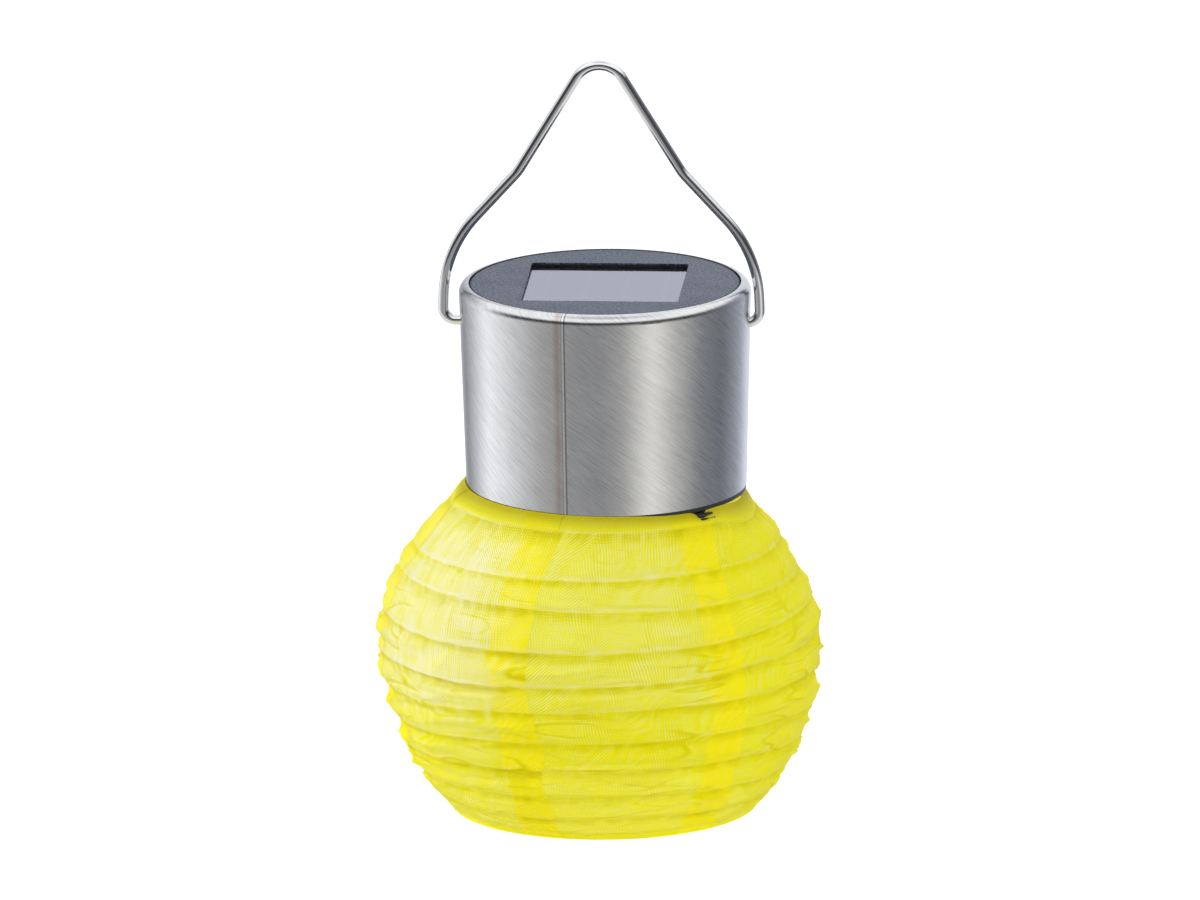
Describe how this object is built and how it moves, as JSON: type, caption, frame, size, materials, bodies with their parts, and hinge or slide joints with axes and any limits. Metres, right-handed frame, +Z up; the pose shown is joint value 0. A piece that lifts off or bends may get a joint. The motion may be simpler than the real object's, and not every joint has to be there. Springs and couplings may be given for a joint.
{
  "type": "solar lantern",
  "caption": "Hanging solar lantern: a brushed steel cap with a solar panel and wire bail above a round collapsible shade of sheer ribbed fabric.",
  "frame": {"origin": "centre of the bottom ring's underside, which the lantern stands on", "axes": "+Z up, X along the pivots of the bail, -Y the front with the weld seam"},
  "size_m": [0.0984, 0.0984, 0.1701],
  "materials": {
    "sleeve_steel": "hairline brushed",
    "bail_steel": "polished",
    "bezel_plastic": "fine texture",
    "cup_plastic": "satin",
    "gasket_rubber": "matte",
    "window_clear": "clear",
    "silicon": "glossy",
    "board_laminate": "satin",
    "battery_sleeve": "glossy",
    "contact_nickel": "plated",
    "screw_steel": "plain",
    "chip_plastic": "matte",
    "coil_resin": "glossy",
    "led_resin": "clear",
    "lead_red": "satin",
    "lead_black": "satin",
    "shade_fabric": "sheer plain weave",
    "ring_wire": "coated wire",
    "hoop_plastic": "satin",
    "clip_plastic": "satin"
  },
  "bodies": {
    "cap": {"cap_sleeve": "sleeve_steel", "panel_bezel": "bezel_plastic", "bezel_gasket": "gasket_rubber", "cell_window": "window_clear", "solar_cell": "silicon", "solar_cell_board": "board_laminate", "inner_housing": "cup_plastic", "cup_screws": "screw_steel", "battery": "battery_sleeve", "battery_contact_plate": "contact_nickel", "battery_contact_spring": "contact_nickel", "circuit_board": "board_laminate", "board_screws": "screw_steel", "driver_chip": "chip_plastic", "inductor": "coil_resin", "led": "led_resin", "led_leads": "contact_nickel", "switch_body": "contact_nickel", "switch_pins": "contact_nickel", "cell_lead_red": "lead_red", "cell_lead_black": "lead_black", "battery_lead_red": "lead_red", "battery_lead_black": "lead_black"},
    "bail": {"bail_wire": "bail_steel"},
    "switch": {"switch_slider": "cup_plastic"},
    "door": {"battery_door": "cup_plastic", "door_screws": "screw_steel"},
    "shade": {"top_ring": "ring_wire", "bottom_ring": "hoop_plastic", "shade_clips": "clip_plastic", "rib_ring_1": "ring_wire", "rib_ring_2": "ring_wire", "rib_ring_3": "ring_wire", "rib_ring_4": "ring_wire", "rib_ring_5": "ring_wire", "rib_ring_6": "ring_wire", "rib_ring_7": "ring_wire", "rib_ring_8": "ring_wire", "rib_ring_9": "ring_wire", "shade_gore_1": "shade_fabric", "shade_gore_2": "shade_fabric", "shade_gore_3": "shade_fabric", "shade_gore_4": "shade_fabric", "shade_gore_5": "shade_fabric", "shade_gore_6": "shade_fabric"}
  },
  "joints": [
    {"name": "bail_swing", "type": "hinge", "parent": "cap", "child": "bail", "pos_m": [0, 0, 0.1105], "axis": [1, 0, 0], "range_deg": [-120, 120]},
    {"name": "switch_slide", "type": "slide", "parent": "cap", "child": "switch", "axis": [1, 0, 0], "range_m": [0, 0.003]},
    {"name": "door_off", "type": "slide", "parent": "cap", "child": "door", "axis": [0, 0, -1], "range_m": [0, 0.012]},
    {"name": "shade_pull_off", "type": "slide", "parent": "cap", "child": "shade", "axis": [0, 0, -1], "range_m": [0, 0.02]}
  ]
}
